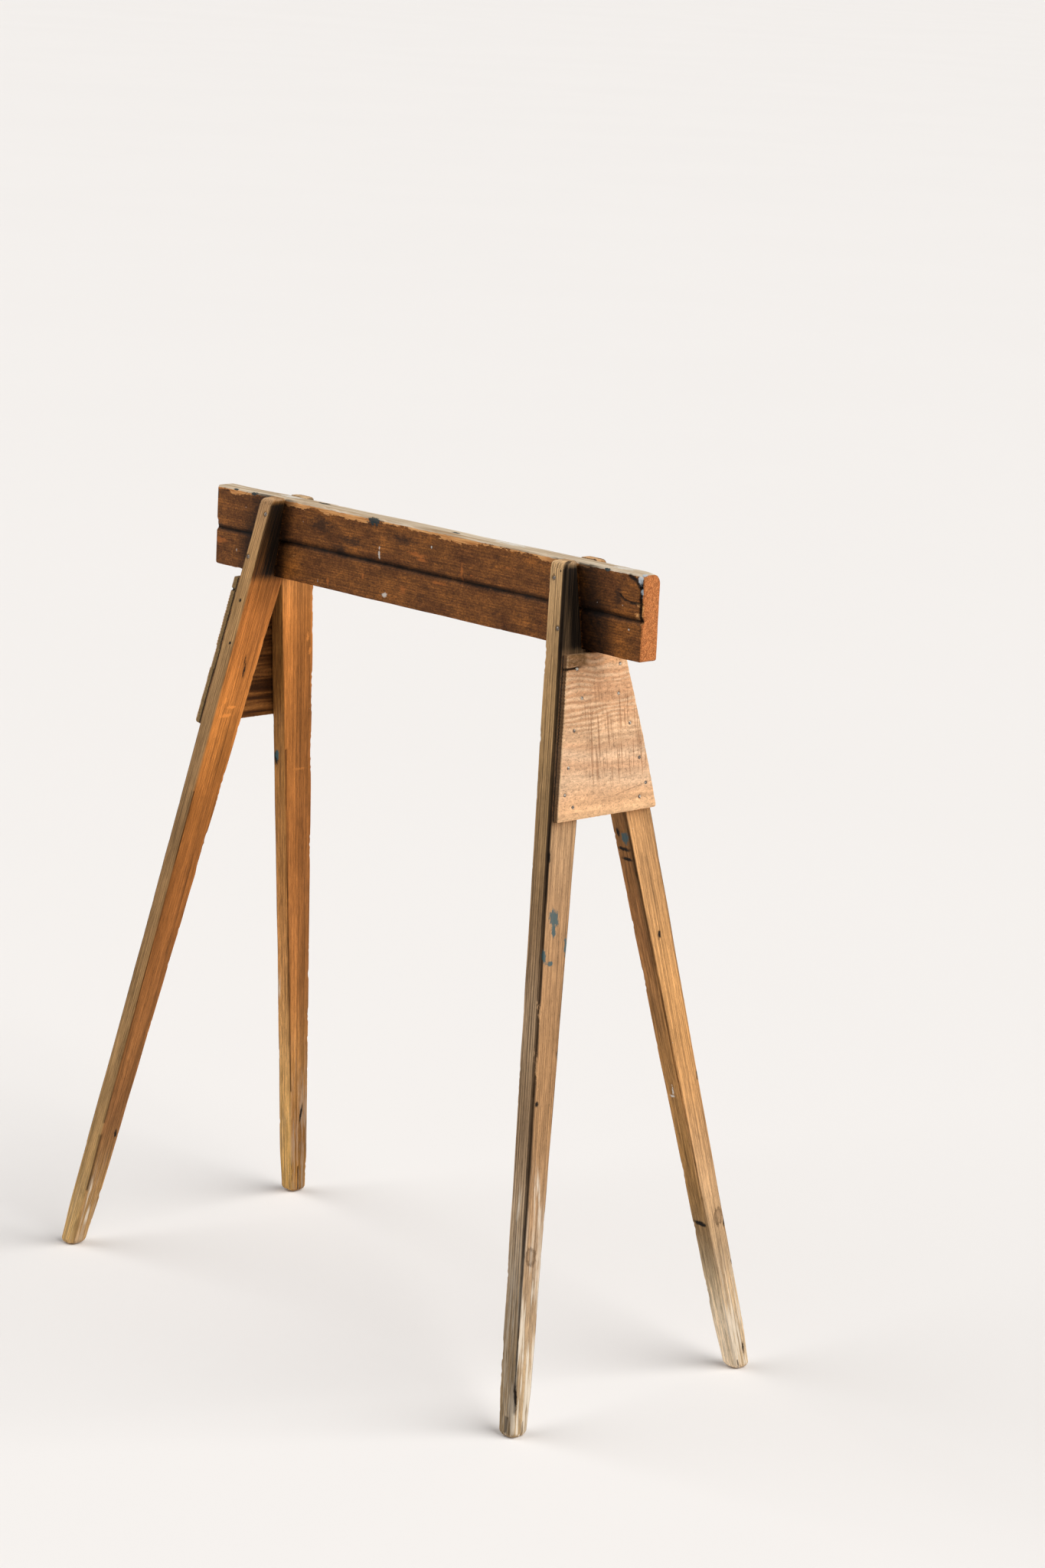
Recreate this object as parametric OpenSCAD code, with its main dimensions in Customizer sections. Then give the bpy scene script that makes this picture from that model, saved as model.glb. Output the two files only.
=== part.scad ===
// A fixed wooden sawhorse: one rail on edge, two pairs of splayed legs notched round it,
// and a nailed plate across each pair. X runs along the rail, -Y is the grooved side of the
// rail, and Z is up. The origin is on the floor, under the middle of the rail.

/* [Overall] */
// Height of the top of the rail above the floor
height = 760; // [560:5:950]
// Length of the rail
beam_length = 588; // [480:2:1200]

/* [Beam] */
// Height of the rail, which stands on edge
beam_height = 78; // [60:1:110]
// Thickness of the rail
beam_thickness = 21; // [16:0.5:32]
// Radius of the rail's worn top edges
beam_round = 3.5; // [1:0.5:6]
// Depth of the groove along the rail's near face
groove_depth = 2.8; // [1:0.1:5]
// Height of the groove's mouth
groove_mouth = 7; // [3:0.5:12]
// Distance from the top of the rail to the bottom of the groove
groove_drop = 42; // [20:1:48]

/* [Legs] */
// Thickness of a leg, measured along the rail
leg_thickness = 19; // [14:0.5:30]
// Width that a leg keeps beside the rail at the top
leg_top_width = 16; // [10:0.5:26]
// Width of a leg's foot
leg_foot_width = 20; // [14:0.5:40]
// Sideways lean of a leg's outer edge, in degrees
side_splay = 9.6; // [6:0.1:14]
// Endways lean of a leg, in degrees
end_splay = 8.9; // [2:0.1:12]
// Distance from the rail's end to the leg's outer face, at the rail's underside
leg_inset = 71; // [40:1:120]
// Height of the short plumb face where the two legs of a pair meet
butt_height = 6; // [3:0.5:12]
// Width and depth of the rebate along both edges of a leg's outer face
leg_rebate = 2.2; // [0.5:0.1:3]
// Radius of the worn corner at the top of a leg
leg_top_round = 6; // [2:0.5:9]

/* [Gusset plates] */
// Height of a plate, measured along the legs
gusset_height = 147; // [100:1:180]
// Thickness of a plate
gusset_thickness = 8; // [5:0.5:14]
// Distance from the rail's underside to a plate's top edge, measured along the legs
gusset_drop = 2.5; // [2.5:0.1:10]

/* [Nails] */
// Diameter of a leg nail's shank
leg_nail_shank = 2.4; // [1.6:0.1:3]
// Diameter of a leg nail's head
leg_nail_head = 3.8; // [3.2:0.1:5]
// How far the upper leg nails reach into the rail
leg_nail_bite = 16; // [13:0.5:16]
// Distance from the top of the rail to the upper leg nail
nail_top_drop = 13; // [10:0.5:18]
// Distance from the rail's underside to the lower leg nail
nail_low_rise = 21; // [12:0.5:24]
// Distance of a leg nail from the middle of the leg's edge
nail_stagger = 4.2; // [3:0.1:5]
// Diameter of a plate nail's shank
plate_nail_shank = 1.8; // [1.2:0.1:2.4]
// Diameter of a plate nail's head
plate_nail_head = 3.2; // [2.6:0.1:4.2]
// How far a plate nail reaches into the leg
plate_nail_bite = 13; // [8:0.5:13]
// Thickness of every nail's head
nail_head_thickness = 1.2; // [0.8:0.1:2]
// How far every nail's head is sunk below the wood
nail_sink = 0.4; // [0:0.1:1]
// Gap all round a nail in its hole
nail_gap = 0.05; // [0.02:0.01:0.1]

/* [Hidden] */
$fn = 48;
ENDS = [["left", -1], ["right", 1]];
SIDES = [["near", -1], ["far", 1]];
LEVELS = [["upper", 1], ["lower", -1]];

// Where a plate's nails go on each leg: the share of the plate's height down from its top,
// and the share of the leg's width out from its inner edge.
PLATE_NAILS = [[0.09, 0.62], [0.27, 0.40], [0.46, 0.58], [0.68, 0.68], [0.84, 0.74], [0.92, 0.44]];
PLATE_NAIL_COUNT = len(PLATE_NAILS);

// Heights and places that follow from the sizes above
underside = height - beam_height;
leg_x = beam_length / 2 - leg_inset;
half_beam = beam_thickness / 2;
shoulder_y = half_beam + leg_top_width + beam_height * tan(side_splay);
foot_outer_y = shoulder_y + underside * tan(side_splay);
foot_inner_y = foot_outer_y - leg_foot_width;
inner_slope = foot_inner_y / (underside - butt_height);
// The outer edge's lean as it appears in the plane of the leg's wide face
edge_lean = atan(tan(side_splay) * cos(end_splay));
upper_nail_rise = beam_height - nail_top_drop;
leg_nail_length = (outer_y(-upper_nail_rise) - half_beam) / cos(edge_lean) + leg_nail_bite;
plate_nail_length = gusset_thickness - nail_sink + plate_nail_bite;
over = leg_thickness + gusset_thickness;

// Colours
WOOD_BEAM = [0.30, 0.17, 0.11];
WOOD_LEG = [0.66, 0.47, 0.29];
WOOD_PLATE = [0.80, 0.62, 0.42];
STEEL = [0.35, 0.34, 0.33];

// Sideways place of a leg's two edges, at a depth below the rail's underside
function outer_y(depth) = shoulder_y + depth * tan(side_splay);
function inner_y(depth) = max(0, (depth - butt_height) * inner_slope);

// Puts what follows in the frame of one leg: X out of its wide outer face, Y sideways away
// from the rail, and Z up along the leg from the level of the rail's underside.
module leg_frame(end, side) {
    mirror([end < 0 ? 1 : 0, 0, 0])
        mirror([0, side < 0 ? 1 : 0, 0])
            translate([leg_x, 0, underside])
                rotate([0, -end_splay, 0])
                    children();
}

// A flat outline in the leg's plane, given thickness along the leg frame's X
module plank(from_x, to_x) {
    translate([from_x, 0, 0])
        rotate([90, 0, 90])
            linear_extrude(to_x - from_x)
                children();
}

// Outline of a leg before it is notched and cut off, drawn in by edge on both sides
module leg_outline(edge) {
    top = beam_height + over;
    low = underside + over;
    polygon([
        [edge, top / cos(end_splay)],
        [outer_y(-top) - edge, top / cos(end_splay)],
        [outer_y(low) - edge, -low / cos(end_splay)],
        [inner_y(low) + edge, -low / cos(end_splay)],
        [edge, -butt_height / cos(end_splay)]
    ]);
}

// What is cut away to round the outer corner of a leg's top
module leg_top_corner() {
    far = half_beam + leg_top_width + 2 * leg_top_round;
    centre = half_beam + leg_top_width - leg_top_round;
    difference() {
        translate([-leg_x, centre, height - leg_top_round])
            cube([4 * leg_x, far, 2 * leg_top_round]);
        translate([-leg_x, centre, height - leg_top_round])
            rotate([0, 90, 0])
                cylinder(h = 4 * leg_x, r = leg_top_round);
        translate([-leg_x, centre, height - 2 * leg_top_round])
            cube([4 * leg_x, far, leg_top_round]);
    }
}

// A round nail with a flat head and a point, its head's top at z = 0
module nail(length, shank, head, grow = 0) {
    point = 2 * shank;
    translate([0, 0, -nail_head_thickness])
        cylinder(h = nail_head_thickness + (grow > 0 ? over : 0), d = head + 2 * grow);
    translate([0, 0, point - length])
        cylinder(h = length - point - nail_head_thickness, d = shank + 2 * grow);
    translate([0, 0, -length])
        cylinder(h = point, d1 = shank / 4 + 2 * grow, d2 = shank + 2 * grow);
}

// The shape of one of the two nails through a leg's edge into the rail, or of its hole
module leg_nail_shape(end, side, level, grow = 0) {
    rise = level > 0 ? upper_nail_rise : nail_low_rise;
    leg_frame(end, side)
        translate([
            level * side * nail_stagger - leg_thickness / 2,
            outer_y(-rise),
            rise / cos(end_splay)
        ])
            rotate([edge_lean - 90, 0, 0])
                translate([0, 0, -nail_sink])
                    nail(leg_nail_length, leg_nail_shank, leg_nail_head, grow);
}

// The shape of one nail through a plate into a leg, or of its hole
module plate_nail_shape(end, side, i, grow = 0) {
    along = gusset_drop + PLATE_NAILS[i - 1][0] * gusset_height;
    depth = along * cos(end_splay);
    across = inner_y(depth) + PLATE_NAILS[i - 1][1] * (outer_y(depth) - inner_y(depth));
    leg_frame(end, side)
        translate([gusset_thickness - nail_sink, across, -along])
            rotate([0, 90, 0])
                nail(plate_nail_length, plate_nail_shank, plate_nail_head, grow);
}

module beam() {
    color(WOOD_BEAM)
        difference() {
            translate([-beam_length / 2, 0, underside])
                rotate([90, 0, 90])
                    linear_extrude(beam_length)
                        beam_section();
            for (e = ENDS, s = SIDES, v = LEVELS)
                leg_nail_shape(e[1], s[1], v[1], nail_gap);
        }
}

// The rail's cross-section, with the groove in its near side
module beam_section() {
    difference() {
        translate([-half_beam, 0])
            square([beam_thickness, beam_height]);
        for (side = [-1, 1])
            translate([side * (half_beam - beam_round), beam_height - beam_round])
                difference() {
                    translate([side < 0 ? -2 * beam_round : 0, 0])
                        square(2 * beam_round);
                    circle(beam_round);
                }
        polygon([
            [-half_beam - 1, beam_height - groove_drop + groove_mouth],
            [-half_beam, beam_height - groove_drop + groove_mouth / 2],
            [-half_beam + groove_depth, beam_height - groove_drop],
            [-half_beam, beam_height - groove_drop - groove_mouth / 2],
            [-half_beam - 1, beam_height - groove_drop - groove_mouth]
        ]);
    }
}

module leg(end, side) {
    color(WOOD_LEG)
        difference() {
            intersection() {
                leg_frame(end, side) {
                    plank(-leg_thickness, -leg_rebate)
                        leg_outline(0);
                    plank(-leg_rebate, 0)
                        leg_outline(leg_rebate);
                }
                translate([-beam_length, -height, 0])
                    cube([2 * beam_length, 2 * height, height]);
            }
            translate([-beam_length, -half_beam, underside])
                cube([2 * beam_length, beam_thickness, beam_height + over]);
            mirror([end < 0 ? 1 : 0, 0, 0])
                mirror([0, side < 0 ? 1 : 0, 0])
                    leg_top_corner();
            for (v = LEVELS)
                leg_nail_shape(end, side, v[1], nail_gap);
            for (i = [1:PLATE_NAIL_COUNT])
                plate_nail_shape(end, side, i, nail_gap);
        }
}

module gusset(end) {
    top = gusset_drop;
    low = gusset_drop + gusset_height;
    top_y = outer_y(top * cos(end_splay)) - leg_rebate;
    low_y = outer_y(low * cos(end_splay)) - leg_rebate;
    color(WOOD_PLATE)
        difference() {
            leg_frame(end, 1)
                plank(0, gusset_thickness)
                    polygon([[-top_y, -top], [top_y, -top], [low_y, -low], [-low_y, -low]]);
            for (s = SIDES, i = [1:PLATE_NAIL_COUNT])
                plate_nail_shape(end, s[1], i, nail_gap);
        }
}

module leg_nail(end, side, level) {
    color(STEEL)
        leg_nail_shape(end, side, level);
}

module plate_nail(end, side, i) {
    color(STEEL)
        plate_nail_shape(end, side, i);
}

beam();
for (e = ENDS, s = SIDES)
    leg(e[1], s[1]);
for (e = ENDS)
    gusset(e[1]);
for (e = ENDS, s = SIDES, v = LEVELS)
    leg_nail(e[1], s[1], v[1]);
for (e = ENDS, s = SIDES, i = [1:PLATE_NAIL_COUNT])
    plate_nail(e[1], s[1], i);
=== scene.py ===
import math
from itertools import product

import bpy
import numpy as np
from mathutils import Matrix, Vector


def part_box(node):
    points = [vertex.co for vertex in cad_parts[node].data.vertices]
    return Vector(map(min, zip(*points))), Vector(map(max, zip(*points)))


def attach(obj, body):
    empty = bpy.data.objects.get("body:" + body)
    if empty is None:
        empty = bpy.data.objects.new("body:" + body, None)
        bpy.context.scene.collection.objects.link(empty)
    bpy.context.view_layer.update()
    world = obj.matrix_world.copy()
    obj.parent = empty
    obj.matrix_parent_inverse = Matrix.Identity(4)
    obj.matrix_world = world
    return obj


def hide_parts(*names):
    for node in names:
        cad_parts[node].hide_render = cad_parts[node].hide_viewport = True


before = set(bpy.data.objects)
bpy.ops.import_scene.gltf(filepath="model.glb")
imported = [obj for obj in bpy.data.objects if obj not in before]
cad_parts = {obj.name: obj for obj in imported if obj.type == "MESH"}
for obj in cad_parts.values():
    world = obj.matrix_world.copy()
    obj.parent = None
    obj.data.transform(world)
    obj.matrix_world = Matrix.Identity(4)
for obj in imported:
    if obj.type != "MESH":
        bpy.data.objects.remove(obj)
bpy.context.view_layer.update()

# ---- Sizes in metres: Z up, X along the rail, -Y towards the grooved face of the rail ----
MM = 0.001
RAIL_LOW, RAIL_HIGH = (np.array(corner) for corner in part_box("beam"))
RAIL_END = RAIL_HIGH[0]
RAIL_HALF = RAIL_HIGH[1]
UNDERSIDE = RAIL_LOW[2]
TOP = RAIL_HIGH[2]
RAIL_HEIGHT = TOP - UNDERSIDE
RAIL_ROUND = 3.5 * MM
GROOVE_LEVEL = RAIL_HEIGHT - 42 * MM
GROOVE_DEPTH = 3.0 * MM
GROOVE_HALF_MOUTH = 5.0 * MM

END_SPLAY = math.radians(8.9)
SIDE_SPLAY = math.radians(9.6)
LEG_THICKNESS = 19 * MM / math.cos(END_SPLAY)
LEG_FOOT_WIDTH = 20 * MM
BUTT_HEIGHT = 6 * MM
REBATE = 2.3 * MM
LEG_TOP_ROUND = 6 * MM
FOOT_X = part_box("leg_right_far")[1].x
FOOT_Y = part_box("leg_right_far")[1].y
INNER_SLOPE = (FOOT_Y - LEG_FOOT_WIDTH) / (UNDERSIDE - BUTT_HEIGHT)

PLATE_HEIGHT = 147 * MM
PLATE_THICKNESS = 8 * MM
PLATE_DROP = 2.5 * MM
PLATE_BOTTOM = PLATE_DROP + PLATE_HEIGHT
RIPPLES = PLATE_HEIGHT / (5.4 * MM)

NAIL_HEAD = 1.2 * MM
NAIL_DOME = 0.3 * MM
# A blob's reach along the rail when it runs all along it
ENDLESS = 9.0

ENDS = {"left": -1, "right": 1}
SIDES = {"near": -1, "far": 1}
CORNER_POINTS = 9
HALF_CORNER = CORNER_POINTS // 2


def outboard_x(z):
    """Place along X of a leg's outer wide face at height z."""
    return FOOT_X - z * math.tan(END_SPLAY)


def outer_y(z):
    """Sideways place of a leg's outer edge at height z."""
    return FOOT_Y - z * math.tan(SIDE_SPLAY)


def inner_y(z):
    """Sideways place of a leg's inner edge at height z, below the rail."""
    return np.maximum(0, FOOT_Y - LEG_FOOT_WIDTH - z * INNER_SLOPE)


# ---- Noise and marks on points ----
def random_cells(cells, seed):
    """A number from 0 to 1 for each cell of whole-numbered places, by scrambling its bits."""
    mix = cells.astype(np.int64) @ np.array([73856093, 19349663, 83492791])
    mix = (mix + seed * 49979687) & 0x7FFFFFFF
    mix = ((mix ^ (mix >> 13)) * 1103515245 + 12345) & 0x7FFFFFFF
    mix = ((mix ^ (mix >> 11)) * 69069 + 1) & 0x7FFFFFFF
    return mix / 0x7FFFFFFF


def noise(points, size, seed, stretch=(1, 1, 1)):
    """Smooth noise from -1 to 1 over features of about size metres, longer by stretch."""
    place = points / (np.array(stretch) * size)
    cell = np.floor(place)
    share = place - cell
    share = share * share * (3 - 2 * share)
    total = np.zeros(len(points))
    for corner in product((0, 1), repeat=3):
        weight = np.prod(np.where(corner, share, 1 - share), axis=1)
        total += weight * random_cells(cell + corner, seed)
    return 2 * total - 1


def line_points(places, row=0.0):
    """Points for noise that changes only along a board; each row has its own."""
    return np.stack([places, 0 * places, 0 * places + row], 1)


def smooth(value, low, high):
    """0 below low, 1 above high, and an even S between; low may be the greater."""
    share = np.clip((value - low) / (high - low), 0, 1)
    return share * share * (3 - 2 * share)


def ramp(value, edge, low, high):
    """0 at low millimetres past edge, 1 at high millimetres past it, and an even S between."""
    return smooth(value, edge + low * MM, edge + high * MM)


def uneven(depth, points, size, seed, stretch=(1, 1, 1)):
    """Relief of up to depth either way over features of about size, both in millimetres."""
    return depth * MM * noise(points, size * MM, seed, stretch)


def blob(points, centre, radii):
    """1 at centre, falling to 0 at the ellipsoid with those radii, and below 0 outside."""
    return 1 - np.linalg.norm((points - np.array(centre)) / np.array(radii), axis=1)


def strongest(points, marks):
    """The strongest blob at each point, or -1. A mark is a blob's centre and its radii."""
    return np.max([np.full(len(points), -1.0)] + [blob(points, *mark) for mark in marks], axis=0)


def split(points, path, width, reach):
    """A crack along a path: 1 on its line, 0 at width; reach is how deep it goes."""
    path = np.array(path)
    best = np.zeros(len(points))
    for start, end in zip(path[:-1], path[1:]):
        step = end - start
        share = np.clip((points - start) @ step / (step @ step), 0, 1)
        away = points - start - share[:, None] * step
        distance = np.linalg.norm(away / np.array([width, width, reach]), axis=1)
        best = np.maximum(best, np.clip(1 - distance, 0, 1))
    return best


# ---- Boards: a four-sided section, with shaped corners, drawn out along stations ----
def stations(low, high, step, fine=()):
    """Places from low to high about step apart, and closer in each (from, to, step) zone."""
    places = [low]
    while places[-1] < high - 1e-6:
        here = places[-1]
        gaps = [gap for start, end, gap in fine if start - 1e-6 <= here < end - 1e-6]
        ahead = [start for start, end, gap in fine if start > here + 1e-6]
        places.append(min(here + min(gaps + [step]), *ahead, high))
        if high - places[-1] < 0.3 * min(gaps + [step]):
            places[-1] = high
    return np.array(places)


def even(count):
    """Evenly spread shares between 0 and 1, without the two ends."""
    return np.linspace(0, 1, count + 2)[1:-1]


def round_over(gap, radius):
    """How far a rounded end draws a section in, at a gap from the end."""
    return radius - np.sqrt(np.maximum(0, radius ** 2 - np.maximum(0, radius - gap) ** 2))


# A corner's points, as (distance back along the face before it, distance on along the next),
# and how dark each point of a rebate is painted, as painted shade and dirt in the rebate
ARC = np.linspace(0, math.pi / 2, CORNER_POINTS)
PLAIN_CORNER = np.stack([1 - np.sin(ARC), 1 - np.cos(ARC)], 1)
REBATED_CORNER = np.array([
    [1.5, 0.0], [1.12, 0.02], [1.0, 0.14], [1.0, 0.6], [0.97, 0.97],
    [0.6, 1.0], [0.14, 1.0], [0.02, 1.12], [0.0, 1.5],
])
REBATE_SHADE = np.array([0.05, 0.55, 0.95, 1.0, 1.0, 1.0, 0.98, 0.7, 0.1])

# Round a section: which of its wide and deep bounds meet, and the ways back and on
CORNER_WAYS = [
    (0, 0, (0, 1), (1, 0)), (1, 0, (-1, 0), (0, 1)), (1, 1, (0, -1), (-1, 0)), (0, 1, (1, 0), (0, -1)),
]


def rounded(radius):
    """A round corner for each station, of its own radius."""
    return PLAIN_CORNER * radius[:, None, None]


def section(wide, deep, shapes):
    """The corners at each station, from (low, high) bounds both ways and four corner shapes."""
    corners = []
    for (w, d, back, on), shape in zip(CORNER_WAYS, shapes):
        one, two = shape[..., 0], shape[..., 1]
        corners.append(np.stack([
            wide[w][:, None] + back[0] * one + on[0] * two,
            deep[d][:, None] + back[1] * one + on[1] * two,
        ], -1))
    return np.stack(corners, 1)


class Board:
    """Points of a board in its own frame: along it, and the two ways across its section."""

    def __init__(self, places, corners, spacing):
        """corners is (station, 4, corner point, 2); spacing is the shares along each side."""
        self.spans = []
        pieces = []
        count = 0
        for side in range(4):
            corner = corners[:, side]
            following = corners[:, (side + 1) % 4, 0]
            shares = np.array(spacing[side])[None, :, None]
            face = corner[:, -1:, :] * (1 - shares) + following[:, None, :] * shares
            self.spans.append((count, count + CORNER_POINTS, count + CORNER_POINTS + face.shape[1]))
            count = self.spans[-1][2]
            pieces += [corner, face]
        across = np.concatenate(pieces, axis=1)
        along = np.broadcast_to(places[:, None, None], across.shape[:2] + (1,))
        self.around = count
        self.middles = [span[0] + HALF_CORNER for span in self.spans]
        self.rings = np.concatenate([along, across], axis=2)
        self.quads = [self.walls()]
        self.points = self.rings.reshape(-1, 3)
        self.cap_from = len(self.points)
        self.cap(0, False)
        self.cap(len(places) - 1, True)
        self.quads = np.concatenate(self.quads)

    def walls(self):
        """The quads between each ring of points and the next."""
        index = np.arange(len(self.rings) * self.around).reshape(-1, self.around)
        low, high = index[:-1], index[1:]
        quads = [low, np.roll(low, -1, 1), np.roll(high, -1, 1), high]
        return np.stack(quads, -1).reshape(-1, 4)

    def cap(self, ring, flip):
        """Fills an end with a grid stretched between the four sides of its ring."""
        middles = self.middles + [self.around + HALF_CORNER]
        sides = [np.arange(middles[i], middles[i + 1] + 1) % self.around for i in range(4)]
        low, right, high, left = sides[0], sides[1], sides[2][::-1], sides[3][::-1]
        edge = self.rings[ring]
        s = np.linspace(0, 1, len(low))[:, None, None]
        t = np.linspace(0, 1, len(left))[None, :, None]
        grid = (1 - t) * edge[low][:, None] + t * edge[high][:, None]
        grid = grid + (1 - s) * edge[left][None] + s * edge[right][None]
        grid -= (1 - s) * (1 - t) * edge[low[0]] + s * (1 - t) * edge[low[-1]]
        grid -= (1 - s) * t * edge[high[0]] + s * t * edge[high[-1]]
        inside = grid[1:-1, 1:-1]
        index = np.zeros(grid.shape[:2], int)
        inner = np.arange(inside.shape[0] * inside.shape[1]).reshape(inside.shape[:2])
        index[1:-1, 1:-1] = len(self.points) + inner
        base = ring * self.around
        index[:, 0], index[:, -1] = base + low, base + high
        index[0, :], index[-1, :] = base + left, base + right
        quads = np.stack([index[:-1, :-1], index[:-1, 1:], index[1:, 1:], index[1:, :-1]], -1)
        quads = quads.reshape(-1, 4)
        self.points = np.concatenate([self.points, inside.reshape(-1, 3)])
        self.quads.append(quads[:, ::-1] if flip else quads)

    def normals(self):
        """A unit normal at each point, out of the board."""
        corner = self.points[self.quads]
        face = np.cross(corner[:, 2] - corner[:, 0], corner[:, 3] - corner[:, 1])
        total = np.zeros_like(self.points)
        for i in range(4):
            np.add.at(total, self.quads[:, i], face)
        total /= np.maximum(np.linalg.norm(total, axis=1, keepdims=True), 1e-12)
        return total if np.sum(corner[:, 0] * face) > 0 else -total

    def columns(self, at_faces, at_corners):
        """A field, 0 on the caps, with a value for each side's face and each corner's points."""
        values = np.zeros(self.around)
        for side, (start, middle, stop) in enumerate(self.spans):
            values[start:middle] = at_corners[side]
            values[middle:stop] = at_faces[side]
        rings = np.broadcast_to(values, (len(self.rings), self.around)).reshape(-1)
        return np.concatenate([rings, np.zeros(len(self.points) - self.cap_from)])

    def arris(self, reach):
        """1 at the long arrises and at the ends' edges, falling to 0 over about reach."""
        gaps = [np.linalg.norm(self.rings - self.rings[:, m:m + 1], axis=2) for m in self.middles]
        near = np.min(gaps, axis=0).reshape(-1)
        along = self.points[:, 0]
        ends = np.abs(along - np.clip(along, self.rings[0, 0, 0] + reach, self.rings[-1, 0, 0] - reach))
        field = np.zeros(len(self.points))
        field[:self.cap_from] = np.exp(-(near / reach) ** 2)
        return np.maximum(field, smooth(ends, 0.2 * reach, reach))


# ---- Objects ----
def add_object(name, points, faces, material):
    mesh = bpy.data.meshes.new(name)
    mesh.from_pydata(points, [], faces)
    mesh.materials.append(material)
    added = bpy.data.objects.new(name, mesh)
    bpy.context.scene.collection.objects.link(added)
    return added


def set_field(mesh, name, values):
    kind = "FLOAT_VECTOR" if values.ndim == 2 else "FLOAT"
    attribute = mesh.attributes.new(name, kind, "POINT")
    key = "vector" if values.ndim == 2 else "value"
    attribute.data.foreach_set(key, np.ascontiguousarray(values, np.float32).reshape(-1))


def make_piece(name, points, faces, material, node, fields, crease=50):
    """A mesh object that stands for a CAD node, rides on the one body and has its fields."""
    piece = add_object(name, points.tolist(), faces, material)
    for key, values in fields.items():
        set_field(piece.data, key, values)
    piece.data.shade_smooth()
    piece.data.set_sharp_from_angle(angle=math.radians(crease))
    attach(piece, "root")
    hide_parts(node)


def facing_out(points, quads):
    """A board's quads, turned over if they face inwards at these points."""
    corner = points[quads[:, :3]]
    face = np.cross(corner[:, 1] - corner[:, 0], corner[:, 2] - corner[:, 0])
    return (quads[:, ::-1] if np.sum(corner[:, 0] * face) < 0 else quads).tolist()


# ---- Nails ----
def nail_frame(node):
    """The middle of a CAD nail's head, the way out of the wood, its length and head radius."""
    points = np.array([vertex.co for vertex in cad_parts[node].data.vertices])
    middle = points.mean(0)
    axis = np.linalg.svd(points - middle)[2][0]
    along = (points - middle) @ axis
    away = np.linalg.norm(points - middle - np.outer(along, axis), axis=1)
    at_end = 0.1 * MM
    if away[along > along.max() - at_end].mean() < away[along < along.min() + at_end].mean():
        axis, along = -axis, -along
    top = points[along > along.max() - at_end]
    return (top.min(0) + top.max(0)) / 2, axis, np.ptp(along), away.max()


NAILS = {node: nail_frame(node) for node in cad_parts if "_nail_" in node}


def nail_profile(length, radius):
    """Points down a nail from its domed head, as (distance from its axis, height)."""
    shank = 0.62 * radius
    rise = np.linspace(0, math.pi / 2, 7)[1:]
    profile = [(radius * 0.96 * math.sin(a), NAIL_DOME * math.cos(a)) for a in rise]
    profile += [(radius, -0.25 * NAIL_HEAD), (radius * 0.97, -0.8 * NAIL_HEAD), (shank, -NAIL_HEAD)]
    profile += [(shank, depth) for depth in np.linspace(-1.4 * NAIL_HEAD, 3 * shank - length, 8)]
    return profile + [(shank * 0.55, 1.2 * shank - length), (shank * 0.12, -length)]


def make_nail(node, material, seed, around=20):
    """A hammered nail: a low domed head with a worn rim, its shank and its point."""
    centre, axis, length, radius = NAILS[node]
    profile = nail_profile(length, radius)
    turn = np.arange(around)[:, None] * 2 * math.pi / around
    side = np.cross(axis, (1, 0, 0) if abs(axis[0]) < 0.7 else (0, 1, 0))
    side /= np.linalg.norm(side)
    ring = np.cos(turn) * side + np.sin(turn) * np.cross(axis, side)
    rings = [centre + out * ring + up * axis for out, up in profile]
    points = np.concatenate([[centre + NAIL_DOME * axis]] + rings + [[centre - length * axis]])
    facet = noise(points, 1.6 * MM, seed)
    points = points + (facet * 0.12 * MM)[:, None] * axis
    last, tip = 1 + (len(profile) - 1) * around, len(points) - 1
    faces = [(0, 1 + i, 1 + (i + 1) % around) for i in range(around)]
    for low in range(1, last, around):
        high = low + around
        faces += [(low + i, high + i, high + (i + 1) % around, low + (i + 1) % around)
                  for i in range(around)]
    faces += [(tip, last + (i + 1) % around, last + i) for i in range(around)]
    make_piece("hammered_" + node, points, faces, material, node, {}, 45)


def nail_marks(world, start, spread):
    """The hollow that each nail sits in, and the dark stain round it, for nails named so."""
    hollow = np.zeros(len(world))
    stain = np.zeros(len(world))
    for node, (centre, axis, length, radius) in NAILS.items():
        if not node.startswith(start):
            continue
        away = world - centre
        depth = away @ axis
        out = np.linalg.norm(away - depth[:, None] * axis, axis=1)
        here = np.abs(depth) < 2 * MM
        hollow = np.maximum(hollow, here * (1 - smooth(out, radius, 1.55 * radius)))
        stain = np.maximum(stain, here * (1 - smooth(out, 1.1 * radius, spread * radius)))
    return hollow, stain


# ---- Materials ----
def tone(red, green, blue, gain=1.0):
    """A colour given as it looks on a screen, as a shader wants it, made lighter by gain."""
    values = [channel / 255 for channel in (red, green, blue)]
    linear = [v / 12.92 if v <= 0.04045 else ((v + 0.055) / 1.055) ** 2.4 for v in values]
    return tuple(min(0.95, v * gain) for v in linear) + (1.0,)


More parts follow.
